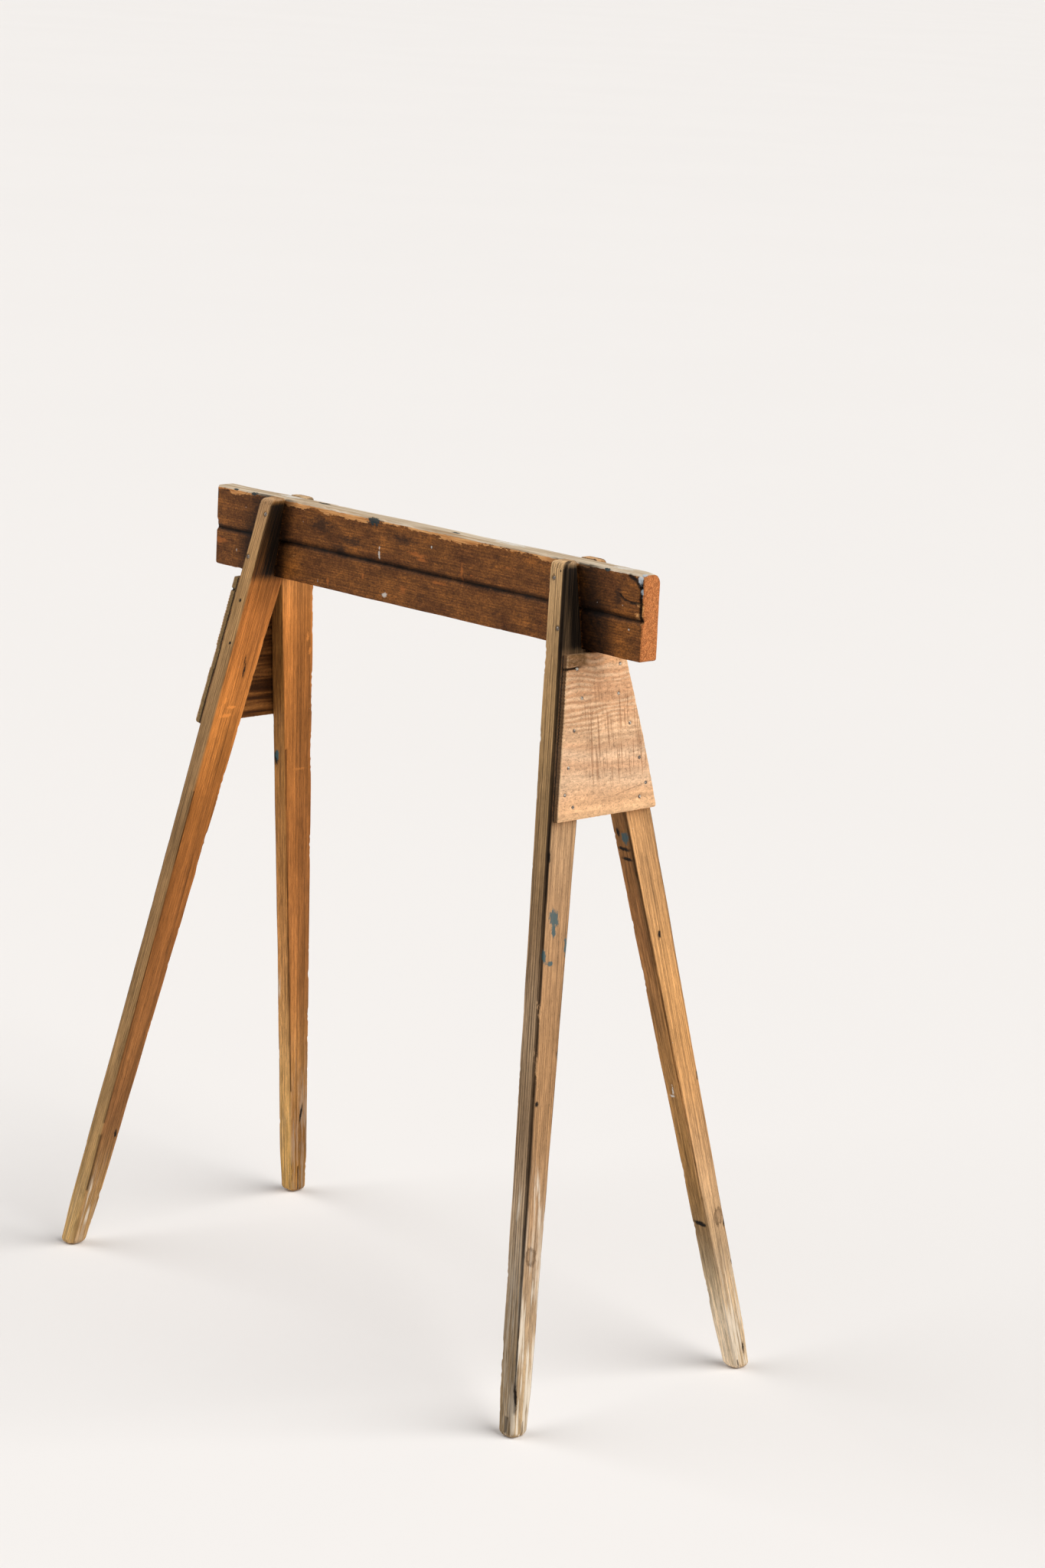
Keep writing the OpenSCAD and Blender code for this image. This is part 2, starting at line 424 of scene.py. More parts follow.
class Paint:
    """One material's nodes. Calls add nodes and give back a result, or change self.colour."""

    def __init__(self, name):
        self.material = bpy.data.materials.new(name)
        self.material.use_nodes = True
        self.tree = self.material.node_tree
        self.tree.nodes.clear()
        self.colour = None
        self.grain = self.field("grain", "Vector")
        self.shader = self.tree.nodes.new("ShaderNodeBsdfPrincipled")
        output = self.tree.nodes.new("ShaderNodeOutputMaterial")
        self.tree.links.new(self.shader.outputs["BSDF"], output.inputs["Surface"])

    def put(self, socket, value):
        if isinstance(value, bpy.types.NodeSocket):
            self.tree.links.new(value, socket)
        else:
            socket.default_value = value

    def add(self, kind, inputs, part=0, **settings):
        """Adds a node with its inputs and settings, and gives back one of its outputs."""
        node = self.tree.nodes.new("ShaderNode" + kind)
        for key, value in settings.items():
            setattr(node, key, value)
        for key, value in inputs.items():
            self.put(node.inputs[key], value)
        return node.outputs[part]

    def field(self, name, part="Fac"):
        return self.add("Attribute", {}, part, attribute_name=name)

    def math(self, what, first, second=0.0):
        return self.add("Math", {0: first, 1: second}, operation=what)

    def times(self, first, *others):
        for other in others:
            first = self.math("MULTIPLY", first, other)
        return first

    def plus(self, first, *others):
        for other in others:
            first = self.math("ADD", first, other)
        return first

    def vector(self, what, first, second=(0, 0, 0), part="Vector"):
        return self.add("VectorMath", {0: first, 1: second}, part, operation=what)

    def noise(self, along, across, detail=2, rough=0.5, deep=None, warp=0.0):
        """Noise with that many features a metre along, across and deep into the grain."""
        vector = self.vector("MULTIPLY", self.grain, (along, across, deep or across))
        return self.add("TexNoise", {
            "Vector": vector, "Scale": 1.0, "Detail": detail, "Roughness": rough, "Distortion": warp,
        }, "Fac")

    def ease(self, value, low, high, start=0.0, end=1.0):
        """start below low and end above high, with an even S between."""
        return self.add("MapRange", {
            "Value": value, "From Min": low, "From Max": high, "To Min": start, "To Max": end,
        }, interpolation_type="SMOOTHSTEP")

    def stops(self, value, tones, gain=1.0):
        """Colours spread over value: rows of a place and a tone."""
        node = self.tree.nodes.new("ShaderNodeValToRGB")
        ramp = node.color_ramp
        ramp.interpolation = "B_SPLINE"
        while len(ramp.elements) < len(tones):
            ramp.elements.new(0.5)
        for element, (place, *rgb) in zip(ramp.elements, tones):
            element.position = place
            element.color = tone(*rgb, gain)
        self.put(node.inputs["Fac"], value)
        return node.outputs["Color"]

    def mix(self, share, first, second):
        return self.add("Mix", {0: share, 6: first, 7: second}, 2, data_type="RGBA")

    def scale(self, colour, amount):
        return self.add("VectorMath", {0: colour, "Scale": amount}, "Vector", operation="SCALE")

    def shade(self, *steps):
        """Scales the colour so far in (value, low, high, start, end) steps, each as ease has it."""
        for step in steps:
            self.colour = self.scale(self.colour, self.ease(*step))

    def cover(self, share, colour, most=1.0):
        """Lays a colour over the colour so far."""
        self.colour = self.mix(self.times(share, most), self.colour, colour)

    def rings(self, pith, spacing, wander):
        """Growth rings round a pith line beside the board: 0 in early wood, 1 in late wood."""
        drift = self.times(self.math("SUBTRACT", self.noise(3, 34), 0.5), wander)
        flat = self.vector("MULTIPLY", self.grain, (0, 1, 1))
        away = self.vector("LENGTH", self.vector("ADD", flat, (0, *pith)), part="Value")
        share = self.math("FRACT", self.math("DIVIDE", self.plus(away, drift), spacing))
        return self.times(self.ease(share, 0.3, 0.88), self.ease(share, 0.93, 1.0, 1.0, 0.0))

    def specks(self, scale, size, keep):
        """Small round spots, one in some of the cells of a grid with scale cells a metre."""
        node = self.tree.nodes.new("ShaderNodeTexVoronoi")
        self.put(node.inputs["Vector"], self.grain)
        node.inputs["Scale"].default_value = scale
        spot = self.ease(node.outputs["Distance"], 0.5 * size * scale, size * scale, 1.0, 0.0)
        chance = self.vector("DOT_PRODUCT", node.outputs["Color"], (1, 0, 0), part="Value")
        return self.times(spot, self.math("GREATER_THAN", chance, 1 - keep))

    def broken(self, name, value, *span):
        """A field, made uneven by value."""
        return self.times(self.field(name), self.ease(value, *span))

    def patch(self, name, ragged, share=1.0, edge=0.05):
        """A field of blobs made into crisp patches, ragged by a share of ragged."""
        return self.ease(self.plus(self.field(name), self.times(ragged, share)), 0.5 - edge, 0.5 + edge)

    def bump(self, depth, *parts):
        """Relief of up to depth metres, the sum of (value, weight) parts."""
        height = self.plus(*(self.times(*part) for part in parts))
        normal = self.add("Bump", {"Strength": 1.0, "Distance": depth, "Height": height}, "Normal")
        self.put(self.shader.inputs["Normal"], normal)

    def finish(self, roughness, specular):
        self.put(self.shader.inputs["Base Color"], self.colour)
        self.put(self.shader.inputs["Roughness"], roughness)
        self.shader.inputs["Specular IOR Level"].default_value = specular
        return self.material


TEAL = tone(62, 88, 92)
WHITE_PAINT = tone(225, 222, 214)
GRIME_AND_SHADE = tone(28, 20, 12)
PALE_DUST = tone(226, 214, 196)

# Gains that turn a colour as seen in the light into the colour of the surface itself
LIT = 0.84
FILL = 1.15


def leg_wood(name, looks):
    """Weathered softwood. Its wide and narrow faces have their own tones from foot to top."""
    paint = Paint(name)
    rise, narrow = paint.field("rise"), paint.field("narrow")
    fading = paint.noise(6, 200)
    lines = paint.noise(2.5, 560, 1)
    streak = paint.noise(12, 1000, 2, 0.6)
    fibre = paint.noise(85, 1300, 3, 0.7)
    blotch = paint.noise(14, 80, 4, 0.6)
    grit = paint.noise(420, 900, 2, 0.6)
    scuff = paint.noise(16, 240, 4, 0.65)
    worn = paint.noise(26, 200, 3)
    ragged = paint.ease(paint.noise(260, 420, 4, 0.7), 0.0, 1.0, -0.6, 0.6)
    late = paint.times(
        paint.rings(looks["pith"], looks["spacing"], 3.0 * MM),
        paint.ease(fading, 0.35, 0.6, 0.25, 1.0), paint.ease(narrow, 0.0, 1.0, *looks["grain"]))
    base = paint.mix(narrow, paint.stops(rise, looks["wide"], looks["lit"]),
                     paint.stops(rise, looks["narrow"], looks["shaded"]))
    across = paint.plus(paint.field("across"), paint.ease(scuff, 0.2, 0.8, -0.12, 0.12))
    paint.colour = base
    paint.shade((blotch, 0.3, 0.7, 0.84, 1.2), (across, 0.36, 0.58, *looks["bands"]))
    paint.cover(late, paint.scale(base, 0.4))
    paint.shade((lines, 0.36, 0.56, 0.8, 1.07), (streak, 0.34, 0.6, 0.76, 1.16),
                (fibre, 0.3, 0.7, 0.74, 1.26), (grit, 0.28, 0.42, 0.72, 1.02))
    paint.cover(paint.broken("end", streak, 0.4, 0.56, 0.2, 0.7), tone(200, 166, 130))
    paint.cover(paint.broken("edge", worn, 0.42, 0.6, 0.05, 0.75), paint.scale(base, 1.45))
    paint.cover(paint.broken("pale", scuff, 0.44, 0.6), PALE_DUST)
    knot = paint.plus(paint.field("knot"), paint.times(ragged, 0.6))
    ring = paint.math("SUBTRACT", paint.ease(knot, 0.1, 0.34), paint.ease(knot, 0.36, 0.6, 0.0, 0.5))
    paint.cover(ring, tone(74, 50, 28), 0.6)
    # Dark marks: real dirt, and painted shade where a mark lies on a split
    paint.cover(paint.patch("dark", ragged, 0.5, 0.2), GRIME_AND_SHADE)
    # Painted shadow of the rail on the wide faces beside it
    rail_shadow_mask = paint.broken("painted_shadow", scuff, 0.3, 0.7, 1.0, 0.9)
    paint.cover(paint.times(rail_shadow_mask, paint.ease(streak, 0.45, 0.6, 1.0, 0.84)), tone(20, 11, 4))
    # Painted shade and dirt in the rebates, painted shade in the splits, and nail stain
    paint.cover(paint.broken("shade_and_stain", blotch, 0.3, 0.6, 0.98, 0.78), tone(24, 15, 8))
    paint.cover(paint.patch("rub", ragged, 1.0, 0.15), paint.scale(base, 1.6), 0.8)
    paint.cover(paint.patch("teal", ragged, 0.55, 0.12), TEAL, 0.9)
    specks = paint.specks(85.0, 0.45 * MM, 0.1)
    paint.cover(paint.math("MAXIMUM", paint.patch("white", ragged), specks), WHITE_PAINT, 0.75)
    paint.bump(0.5 * MM, (fibre, 0.4), (streak, 0.5), (lines, 0.5), (late, -0.3))
    return paint.finish(paint.ease(blotch, 0.2, 0.8, 0.8, 0.6), 0.14)


def rail_wood():
    """Old dark red-brown stain over softwood, worn through along the top."""
    paint = Paint("stained_rail_wood")
    late = paint.rings((0.035, 0.018), 2.6 * MM, 9 * MM)
    fibre = paint.noise(45, 900, 4, 0.7)
    streak = paint.noise(10, 300, 3, 0.6)
    blotch = paint.noise(26, 55, 5, 0.62, deep=60)
    mottle = paint.noise(170, 240, 4, 0.72)
    grit = paint.noise(620, 900, 2, 0.6)
    smudge = paint.noise(42, 90, 4, 0.65)
    scuff = paint.noise(50, 190, 5, 0.7)
    ragged = paint.ease(paint.noise(150, 300, 5, 0.7), 0.0, 1.0, -0.9, 0.9)
    orange = tone(184, 106, 48, FILL)
    paint.colour = paint.stops(
        blotch, [(0.3, 82, 48, 24), (0.45, 108, 65, 30), (0.58, 121, 74, 32), (0.74, 150, 90, 35)], FILL)
    paint.shade((grit, 0.3, 0.7, 0.62, 1.4), (mottle, 0.34, 0.66, 0.78, 1.22),
                (fibre, 0.3, 0.7, 0.78, 1.2), (streak, 0.35, 0.6, 0.84, 1.08))
    paint.cover(late, tone(44, 24, 14, FILL), 0.28)
    paint.cover(paint.ease(smudge, 0.57, 0.74, 0.0, 0.65), tone(46, 27, 18, FILL))
    paint.cover(paint.ease(scuff, 0.64, 0.74, 0.0, 0.6), tone(186, 104, 48, FILL))
    raw = paint.stops(grit, [(0.35, 150, 76, 36), (0.6, 226, 146, 84)], LIT)
    raw = paint.scale(raw, paint.ease(mottle, 0.35, 0.65, 0.72, 1.16))
    paint.cover(paint.field("end"), raw)
    wood = paint.mix(paint.ease(fibre, 0.3, 0.7), tone(170, 104, 50), tone(226, 168, 106))
    paint.cover(paint.patch("bare", ragged), wood)
    grey = paint.stops(streak, [(0.3, 158, 132, 102), (0.5, 200, 180, 152), (0.7, 228, 216, 196)])
    paint.cover(paint.patch("top", ragged, 0.5, 0.12), grey, 0.93)
    # Painted shadow of the legs on the rail's faces beside them
    paint.cover(paint.broken("painted_shadow", mottle, 0.3, 0.7, 1.0, 0.86), tone(18, 6, 1))
    paint.cover(paint.patch("scuffed", ragged, 0.8, 0.3), orange, 0.5)
    paint.cover(paint.patch("dark", ragged, 0.7, 0.35), tone(36, 24, 18), 0.75)
    # Painted shade in the groove and in the cracks
    paint.cover(paint.broken("shade_and_stain", mottle, 0.3, 0.7, 1.0, 0.88), tone(12, 7, 4))
    paint.cover(paint.patch("teal", ragged, 0.6), tone(34, 52, 56), 0.94)
    paint.cover(paint.patch("dab", ragged, 0.5, 0.15), tone(196, 206, 214), 0.85)
    white = paint.times(paint.patch("white", ragged, 0.8, 0.2), 0.8)
    specks = paint.specks(62.0, 0.5 * MM, 0.24)
    paint.cover(paint.math("MAXIMUM", white, specks), WHITE_PAINT, 0.85)
    paint.bump(0.45 * MM, (fibre, 0.5), (grit, 0.35), (mottle, 0.5))
    return paint.finish(paint.ease(blotch, 0.2, 0.8, 0.72, 0.5), 0.12)


# Tones down a plate's front, from its top (0) to its bottom (1)
PLATE_ZONES = [
    (0.03, 212, 158, 110), (0.14, 226, 172, 130), (0.38, 214, 162, 120), (0.5, 232, 190, 150),
    (0.545, 208, 156, 116), (0.6, 238, 202, 166), (0.68, 200, 148, 108), (0.77, 236, 200, 164),
    (0.86, 216, 166, 124), (0.98, 226, 180, 136),
]


def plate_wood(name, gain, side_tones):
    """Pale rough-sawn board, its grain level, crossed by saw marks; painted shade darkens its back."""
    paint = Paint(name)
    sway = paint.noise(11, 22)
    ripple = paint.noise(12, 190, 1, deep=60, warp=0.15)
    drift = paint.noise(14, 34)
    uneven = paint.noise(26, 60)
    fine = paint.noise(18, 330, 2, 0.6, deep=160)
    fibre = paint.noise(260, 560, 4, 0.75)
    grit = paint.noise(360, 460, 3, 0.7)
    blotch = paint.noise(22, 44, 4, 0.6)
    saw = paint.noise(560, 20, 2, 0.6, deep=30)
    saw_here = paint.noise(50, 34)
    down = paint.plus(paint.field("down"), paint.ease(sway, 0.2, 0.8, -0.045, 0.045))
    high_up = paint.times(paint.ease(down, 0.6, 0.42), paint.ease(uneven, 0.35, 0.55, 0.15, 1.0))
    turns = paint.plus(paint.times(paint.field("down"), RIPPLES), paint.times(drift, 4.0))
    share = paint.math("FRACT", turns)
    ridge = paint.times(paint.ease(share, 0.0, 0.35), paint.ease(share, 0.45, 0.9, 1.0, 0.0), high_up)
    lines = paint.times(
        paint.ease(saw, 0.48, 0.38), paint.ease(saw_here, 0.3, 0.5), paint.field("sawn"))
    paint.colour = paint.stops(down, PLATE_ZONES, gain)
    paint.shade((ripple, 0.42, 0.6, 0.92, 1.06), (high_up, 0.0, 1.0, 1.0, 0.88))
    paint.cover(ridge, tone(240, 198, 158, gain), 0.8)
    paint.shade((fine, 0.35, 0.6, 0.93, 1.05), (blotch, 0.3, 0.7, 0.93, 1.08),
                (fibre, 0.32, 0.68, 0.8, 1.2), (grit, 0.34, 0.46, 0.68, 1.04))
    # Painted shadow in the near top corner, under the rail's overhang
    paint.cover(paint.broken("corner", fibre, 0.3, 0.7, 0.95, 0.6), tone(104, 74, 42))
    paint.cover(lines, tone(146, 94, 60, gain), 0.5)
    # Painted shade on the back, where it shows between the legs under the rail
    shaded_back = paint.stops(ripple, [(0.34, 48, 24, 6), (0.5, 92, 52, 18), (0.66, 146, 94, 46)])
    paint.cover(paint.field("back"), paint.scale(shaded_back, paint.ease(fibre, 0.3, 0.7, 0.7, 1.2)))
    dark_side, pale_side = side_tones
    paint.cover(paint.field("side"), paint.stops(fibre, [(0.3, *dark_side), (0.6, *pale_side)]), 0.92)
    paint.cover(paint.broken("edge", fibre, 0.3, 0.7, 0.2, 0.8), tone(240, 200, 150, gain))
    # Painted shade in the cracks and beside the leg, and real stain round the nails
    paint.cover(paint.ease(paint.field("shade_and_stain"), 0.05, 0.9, 0.0, 0.95), GRIME_AND_SHADE)
    paint.bump(0.6 * MM, (fibre, 0.5), (grit, 0.4), (ridge, 0.8), (lines, -0.8))
    return paint.finish(paint.ease(blotch, 0.2, 0.8, 0.85, 0.7), 0.1)


def nail_steel():
    """Dull dark steel, browned by rust, with bright rubbed spots."""
    paint = Paint("tarnished_nail_steel")
    paint.grain = paint.add("TexCoord", {}, "Object")
    rust = paint.noise(900, 900, 4, 0.7)
    rubbed = paint.noise(420, 420)
    paint.colour = paint.stops(rust, [(0.3, 66, 58, 52), (0.5, 118, 110, 102), (0.7, 112, 76, 52)])
    paint.cover(paint.ease(rubbed, 0.48, 0.6), tone(196, 188, 174))
    paint.bump(0.12 * MM, (rust, 1.0))
    paint.shader.inputs["Metallic"].default_value = 0.55
    return paint.finish(paint.ease(rust, 0.3, 0.7, 0.38, 0.7), 0.5)


def floor_paper():
    """The pale studio floor, a little uneven."""
    paint = Paint("studio_floor")
    paint.grain = paint.add("TexCoord", {}, "Object")
    cloud = paint.noise(0.7, 0.7, 3)
    paint.colour = paint.mix(paint.ease(cloud, 0.3, 0.7), tone(232, 229, 227), tone(233, 230, 228))
    return paint.finish(paint.ease(cloud, 0.3, 0.7, 0.9, 0.86), 0.1)


# ---- Rail ----
NEAR = -RAIL_HALF / MM
TOP_EDGE = RAIL_HEIGHT / MM


# Marks on the rail's near face: (along, height, half length, half height, half depth, place in
# from the face), with 3 and 0 for the last two, and on its top: (along, Y, half length, half
# width). All are in millimetres.
FACE_MARKS = {
    "dark": [(263, 54, 8, 16), (-138, 60, 26, 13), (-92, 51, 26, 8), (-110, 40, 16, 10),
             (-230, 38, 30, 5), (-20, 62, 24, 8)],
    "teal": [(-63, TOP_EDGE - 3, 17, 9, 5), (-238, TOP_EDGE - 1, 9, 5, 4), (-294, 66, 3, 14, 4),
             (-266, TOP_EDGE - 1, 7, 3, 4), (247, TOP_EDGE - 1, 8, 4, 5),
             (291, TOP_EDGE - 2, 4, 10, 4, 3)],
    "white": [(-54, 46, 2.2, 10), (-45, 7, 6, 4), (-262, 18, 1.8, 3), (-250, 62, 1.6, 1.8),
              (-164, 60, 1.5, 1.5), (18, 62, 1.6, 3.4), (-140, 6, 1.4, 3), (140, 18, 1.6, 1.6),
              (278, 27, 1.8, 1.6)],
    "dab": [(289, TOP_EDGE - 5, 5, 9, 5), (291, TOP_EDGE - 1, 5, 5, 6, 4), (291.5, 62, 3, 9)],
    "bare": [(292.5, 46, 5, 16), (289, 51, 12, 3), (288, 40, 5, 7)],
    "scuffed": [(60, 44, 2.6, 17), (-2, 52, 20, 3.4), (6, 48, 14, 2.4), (-76, 20, 2.4, 8),
                (-20, 16, 7, 5), (30, 30, 15, 2.6), (-126, 8, 3, 6), (120, 58, 12, 2),
                (-285, 24, 12, 6)],
}
TOP_MARKS = {
    "teal": [(-150, 3, 14, 5), (40, -2, 12, 4)],
    "white": [(110, 4, 40, 8), (-200, 2, 30, 7), (255, 2, 22, 9)],
}

# Dents in the near edges: end, drop from the top, radii and depth, all in millimetres
RAIL_DENTS = [(1, 0, (13, 8, 5), 2.6), (1, 35, (4, 9, 3), 1.5), (-1, 36, (5, 4, 4), 1.2)]

# Cracks at the right end: path as steps from the top near corner, width, reach, depth, all in
# millimetres, how dark the painted shade in it is, and whether it goes round onto the end
RAIL_CRACKS = [
    ([(-3.7, -7), (-2.6, -14), (-3.4, -22), (-2.8, -30), (-3.6, -41)], 2.3, 6, 2.4, 2.4, True),
    ([(-29, -21), (-24, -25), (-15, -26.5), (-1, -26)], 1.5, 4, 1.2, 1.7, False),
    ([(-18, -3), (-9, -6.5), (-4, -12)], 2.6, 5, 1.0, 1.8, False),
]

# Where the near top arris is rubbed to bare wood: places along the rail and half lengths
RUBBED = [(-0.105, 0.045), (-0.265, 0.012), (-0.175, 0.02), (0.055, 0.03), (0.172, 0.012)]


def rail_section(places):
    """Corners of the rail's section at each station, as (height above its underside, Y)."""
    line = line_points(places)
    inset = round_over(np.minimum(places + RAIL_END, RAIL_END - places), 1.6 * MM)
    top_round = RAIL_ROUND * (1 + 0.25 * noise(line, 35 * MM, 3))
    far_round = top_round + 6 * MM * ramp(places, RAIL_END, -18, -1)
    low_round = 1.1 * MM * (1.3 + 0.7 * noise(line, 25 * MM, 4))
    shapes = [rounded(radius) for radius in (low_round, low_round, far_round, top_round)]
    return section((inset - RAIL_HALF, RAIL_HALF - inset), (inset, RAIL_HEIGHT - inset), shapes)[..., ::-1]


def groove(height):
    """Depth of the near face's groove at a height: a V with a sharp lip below."""
    above = height - GROOVE_LEVEL
    slope = np.where(above > 0, 1 - above / GROOVE_HALF_MOUTH, 1 + above / (0.55 * GROOVE_HALF_MOUTH))
    return GROOVE_DEPTH * np.clip(slope, 0, 1)


def along_arris(points, height, side, tall, deep):
    """A blob that runs all along one of the rail's long arrises."""
    return blob(points, (0, height, side * RAIL_HALF), (ENDLESS, tall * MM, deep * MM))


def rail_chips(points):
    """Depth of the wood chipped off the rail's arrises."""
    chip_noise = noise(points, 9 * MM, 11, (2.2, 1, 1)) + 0.5 * noise(points, 3 * MM, 12, (2, 1, 1))
    near_top = along_arris(points, RAIL_HEIGHT, -1, 6, 4.5)
    far_top = along_arris(points, RAIL_HEIGHT, 1, 6, 4.5)
    near_low = along_arris(points, 0, -1, 3, 3)
    chips = smooth(near_top, 0.2, 0.8) * smooth(chip_noise, 0.15, 0.7) * 1.3 * MM
    chips += smooth(far_top, 0.2, 0.8) * smooth(-chip_noise, 0.25, 0.8) * 1.1 * MM
    return chips + smooth(near_low, 0.1, 0.8) * smooth(chip_noise, 0.6, 1.2) * 0.5 * MM


def rail_wear(points, near_face):
    """Depth of the rail's worn top, dents and cracks, and the painted shade in the cracks."""
    height = points[:, 1]
    depth = 0.5 * MM * ramp(height, RAIL_HEIGHT, -1, 0)
    depth = depth * smooth(noise(points, 45 * MM, 8, (2, 1, 1)), -0.2, 0.8)
    for end, drop, radii, deep in RAIL_DENTS:
        centre = (end * RAIL_END, RAIL_HEIGHT - drop * MM, -RAIL_HALF)
        depth += deep * MM * smooth(blob(points, centre, np.array(radii) * MM), 0, 1)
    shade_and_stain = np.zeros(len(points))
    for path, width, reach, deep, dark, onto_end in RAIL_CRACKS:
        path = [(RAIL_END + x * MM, RAIL_HEIGHT + z * MM, -RAIL_HALF) for x, z in path]
        crack = split(points, path, width * MM, reach * MM) * (1 if onto_end else near_face)
        depth += deep * MM * crack
        shade_and_stain = np.maximum(shade_and_stain, dark * crack)
    return depth, shade_and_stain


def bare_wood(points, chips):
    """Where the stain is worn off: on chips, on the near top arris and at the right end."""
    along = points[:, 0]
    bare = 0.8 * ramp(chips, 0, 0.08, 0.5)
    bare += 0.55 * smooth(along_arris(points, RAIL_HEIGHT, -1, 6, 4.5), 0.1, 0.5)
    rub = np.max([smooth(np.abs(along - place), half, 0.6 * half) for place, half in RUBBED], axis=0)
    bare += 0.85 * smooth(along_arris(points, RAIL_HEIGHT, -1, 9, 6), 0.0, 0.5) * rub
    return bare - 0.25 * smooth(along, 0.19, 0.24)


def rail_spots(points, kind):
    """The strongest of the rail's marks of one kind at each point."""
    marks = []
    for along, height, length, tall, *rest in FACE_MARKS[kind]:
        deep, inset = rest + [3, 0][len(rest):]
        marks.append(((along, height, NEAR + inset), (length, tall, deep)))
    for along, sideways, length, wide in TOP_MARKS.get(kind, []):
        marks.append(((along, TOP_EDGE, sideways), (length, 2, wide)))
    return strongest(points, np.array(marks) * MM)


def leg_shadows_on_rail(along, height, depth):
    """Painted shadow that the legs cast on the rail's faces beside them, deepest low down."""
    faces = ramp(np.abs(depth), RAIL_HALF, -3, -0.5)
    outboard = outboard_x(UNDERSIDE + height)
    beyond = np.abs(along) - outboard
    between = outboard - LEG_THICKNESS - np.abs(along)
    low = smooth(height, RAIL_HEIGHT, 0.35 * RAIL_HEIGHT)
    reach = 11 * MM + 9 * MM * low
    outside = smooth(beyond, 30 * MM + reach, reach) * (beyond > -1 * MM) * (0.86 + 0.14 * low)
    inside = ramp(between, 0, 22, 3) * (between > -1 * MM) * (0.7 + 0.28 * low)
    return faces * np.maximum(outside, inside)


def make_rail():
    places = stations(-RAIL_END, RAIL_END, 1.6 * MM, [
        (-RAIL_END, -RAIL_END + 6 * MM, 0.7 * MM), (RAIL_END - 24 * MM, RAIL_END, 0.6 * MM),
    ])
    board = Board(places, rail_section(places), [even(14), even(58)] * 2)
    points = board.points
    along, height, depth = points.T
    near_face = ramp(-depth, RAIL_HALF, -3.2, -0.4)
    chips = rail_chips(points)
    wear, shade_and_stain = rail_wear(points, near_face)
    cut = groove(height) * near_face
    rough = uneven(0.22, points, 60, 5, (3, 1, 1))
    rough += uneven(0.1, points, 11, 6, (3, 1, 1))
    rough += uneven(0.05, points, 3, 7, (1, 8, 1))
    shaped = points + board.normals() * (rough - chips - wear)[:, None]
    shaped[:, 2] += cut
    world = np.stack([shaped[:, 0], shaped[:, 2], shaped[:, 1] + UNDERSIDE], 1)
    # Painted shade in the groove, darker the deeper it is cut
    groove_shade = 0.66 * smooth(cut, 0.05 * GROOVE_DEPTH, 0.5 * GROOVE_DEPTH)
    groove_shade += 0.34 * smooth(cut, 0.62 * GROOVE_DEPTH, 0.86 * GROOVE_DEPTH)
    end_shade = ramp(np.abs(along), RAIL_END, -1.2, -0.2)
    fields = {kind: rail_spots(points, kind) for kind in FACE_MARKS}
    fields.update({
        "grain": points + np.array([3.1, 0, 0]),
        "shade_and_stain": np.clip(np.maximum(groove_shade, shade_and_stain), 0, 1),
        "end": end_shade,
        "top": ramp(height, RAIL_HEIGHT, -3.2, -0.6) * 1.2 * (1 - end_shade),
        "bare": np.maximum(bare_wood(points, chips), fields["bare"]),
        # Painted shadow of the legs on the rail
        "painted_shadow": leg_shadows_on_rail(along, height, depth),
    })
    make_piece("worn_rail", world, facing_out(world, board.quads), rail_wood(), "beam", fields)


# ---- Legs ----
def leg_edges(z):
    """A leg's inner and outer edge at each height, with the rail's notch and the round top."""
    inner = np.where(z < UNDERSIDE - 1e-6, inner_y(z), RAIL_HALF)
    centre = outer_y(TOP) - LEG_TOP_ROUND
    over = np.clip(z - (TOP - LEG_TOP_ROUND), 0, LEG_TOP_ROUND)
    outer = np.where(over > 0, centre + np.sqrt(LEG_TOP_ROUND ** 2 - over ** 2) + 0.4 * MM, outer_y(z))
    return inner, np.minimum(outer, outer_y(z))


def leg_section(z, seed):
    """Corners of a leg's section at each height, as (sideways, out of the inboard face)."""
    line = line_points(z, seed)
    inner, outer = leg_edges(z)
    inset = round_over(z, 6.0 * MM) + round_over(TOP - z, 2.6 * MM)
    side_in = np.where(z > UNDERSIDE - 1 * MM, 0.05 * MM, inset)
    keep = smooth(z, 0.025, 0.16) * 0.55 + smooth(z, 0.1, 0.3) * 0.45
    keep = (keep * smooth(z, 0, 0.02))[:, None, None]
    shapes = []
    for number in range(4):
        radius = 1.3 * MM * (1 + 0.5 * noise(line, 30 * MM, seed * 10 + number))
        shape = rounded(radius + 3.6 * MM * smooth(z, 0.05, 0.0))
        if number >= 2:
            rebate = REBATE * (1 + 0.12 * noise(line, 40 * MM, seed * 10 + 5 + number))
            shape = shape * (1 - keep) + REBATED_CORNER * rebate[:, None, None] * keep
        shapes.append(shape)
    return section((inner + side_in, outer - inset), (inset, LEG_THICKNESS - inset), shapes)


def on_leg(face, height, share):
    """A point on a leg's face, at a height in millimetres and a share across that face."""
    z = height * MM
    inner, outer = (float(edge[0]) for edge in leg_edges(np.array([z])))
    if face in ("outboard", "inboard"):
        return np.array([z, inner + share * (outer - inner), LEG_THICKNESS if face == "outboard" else 0])
    return np.array([z, outer if face == "outer" else inner, share * LEG_THICKNESS])


def leg_spots(points, marks, kind, through=4.0):
    """The strongest of a leg's marks of one kind at each point."""
    spots = []
    for face in ("outboard", "inboard", "outer", "inner"):
        wide = face in ("outboard", "inboard")
        for height, share, length, width in marks.get((kind, face), []):
            radii = (length, width, through) if wide else (length, through, width)
            spots.append((on_leg(face, height, share), np.array(radii) * MM))
    return strongest(points, spots)


def leg_splits(points, splits, wider=1.0):
    """Each of a leg's splits as a field, from its face, its width and its path."""
    return [split(points, [on_leg(face, *at) for at in path], wider * width * MM, 3.5 * MM)
            for face, width, path in splits]


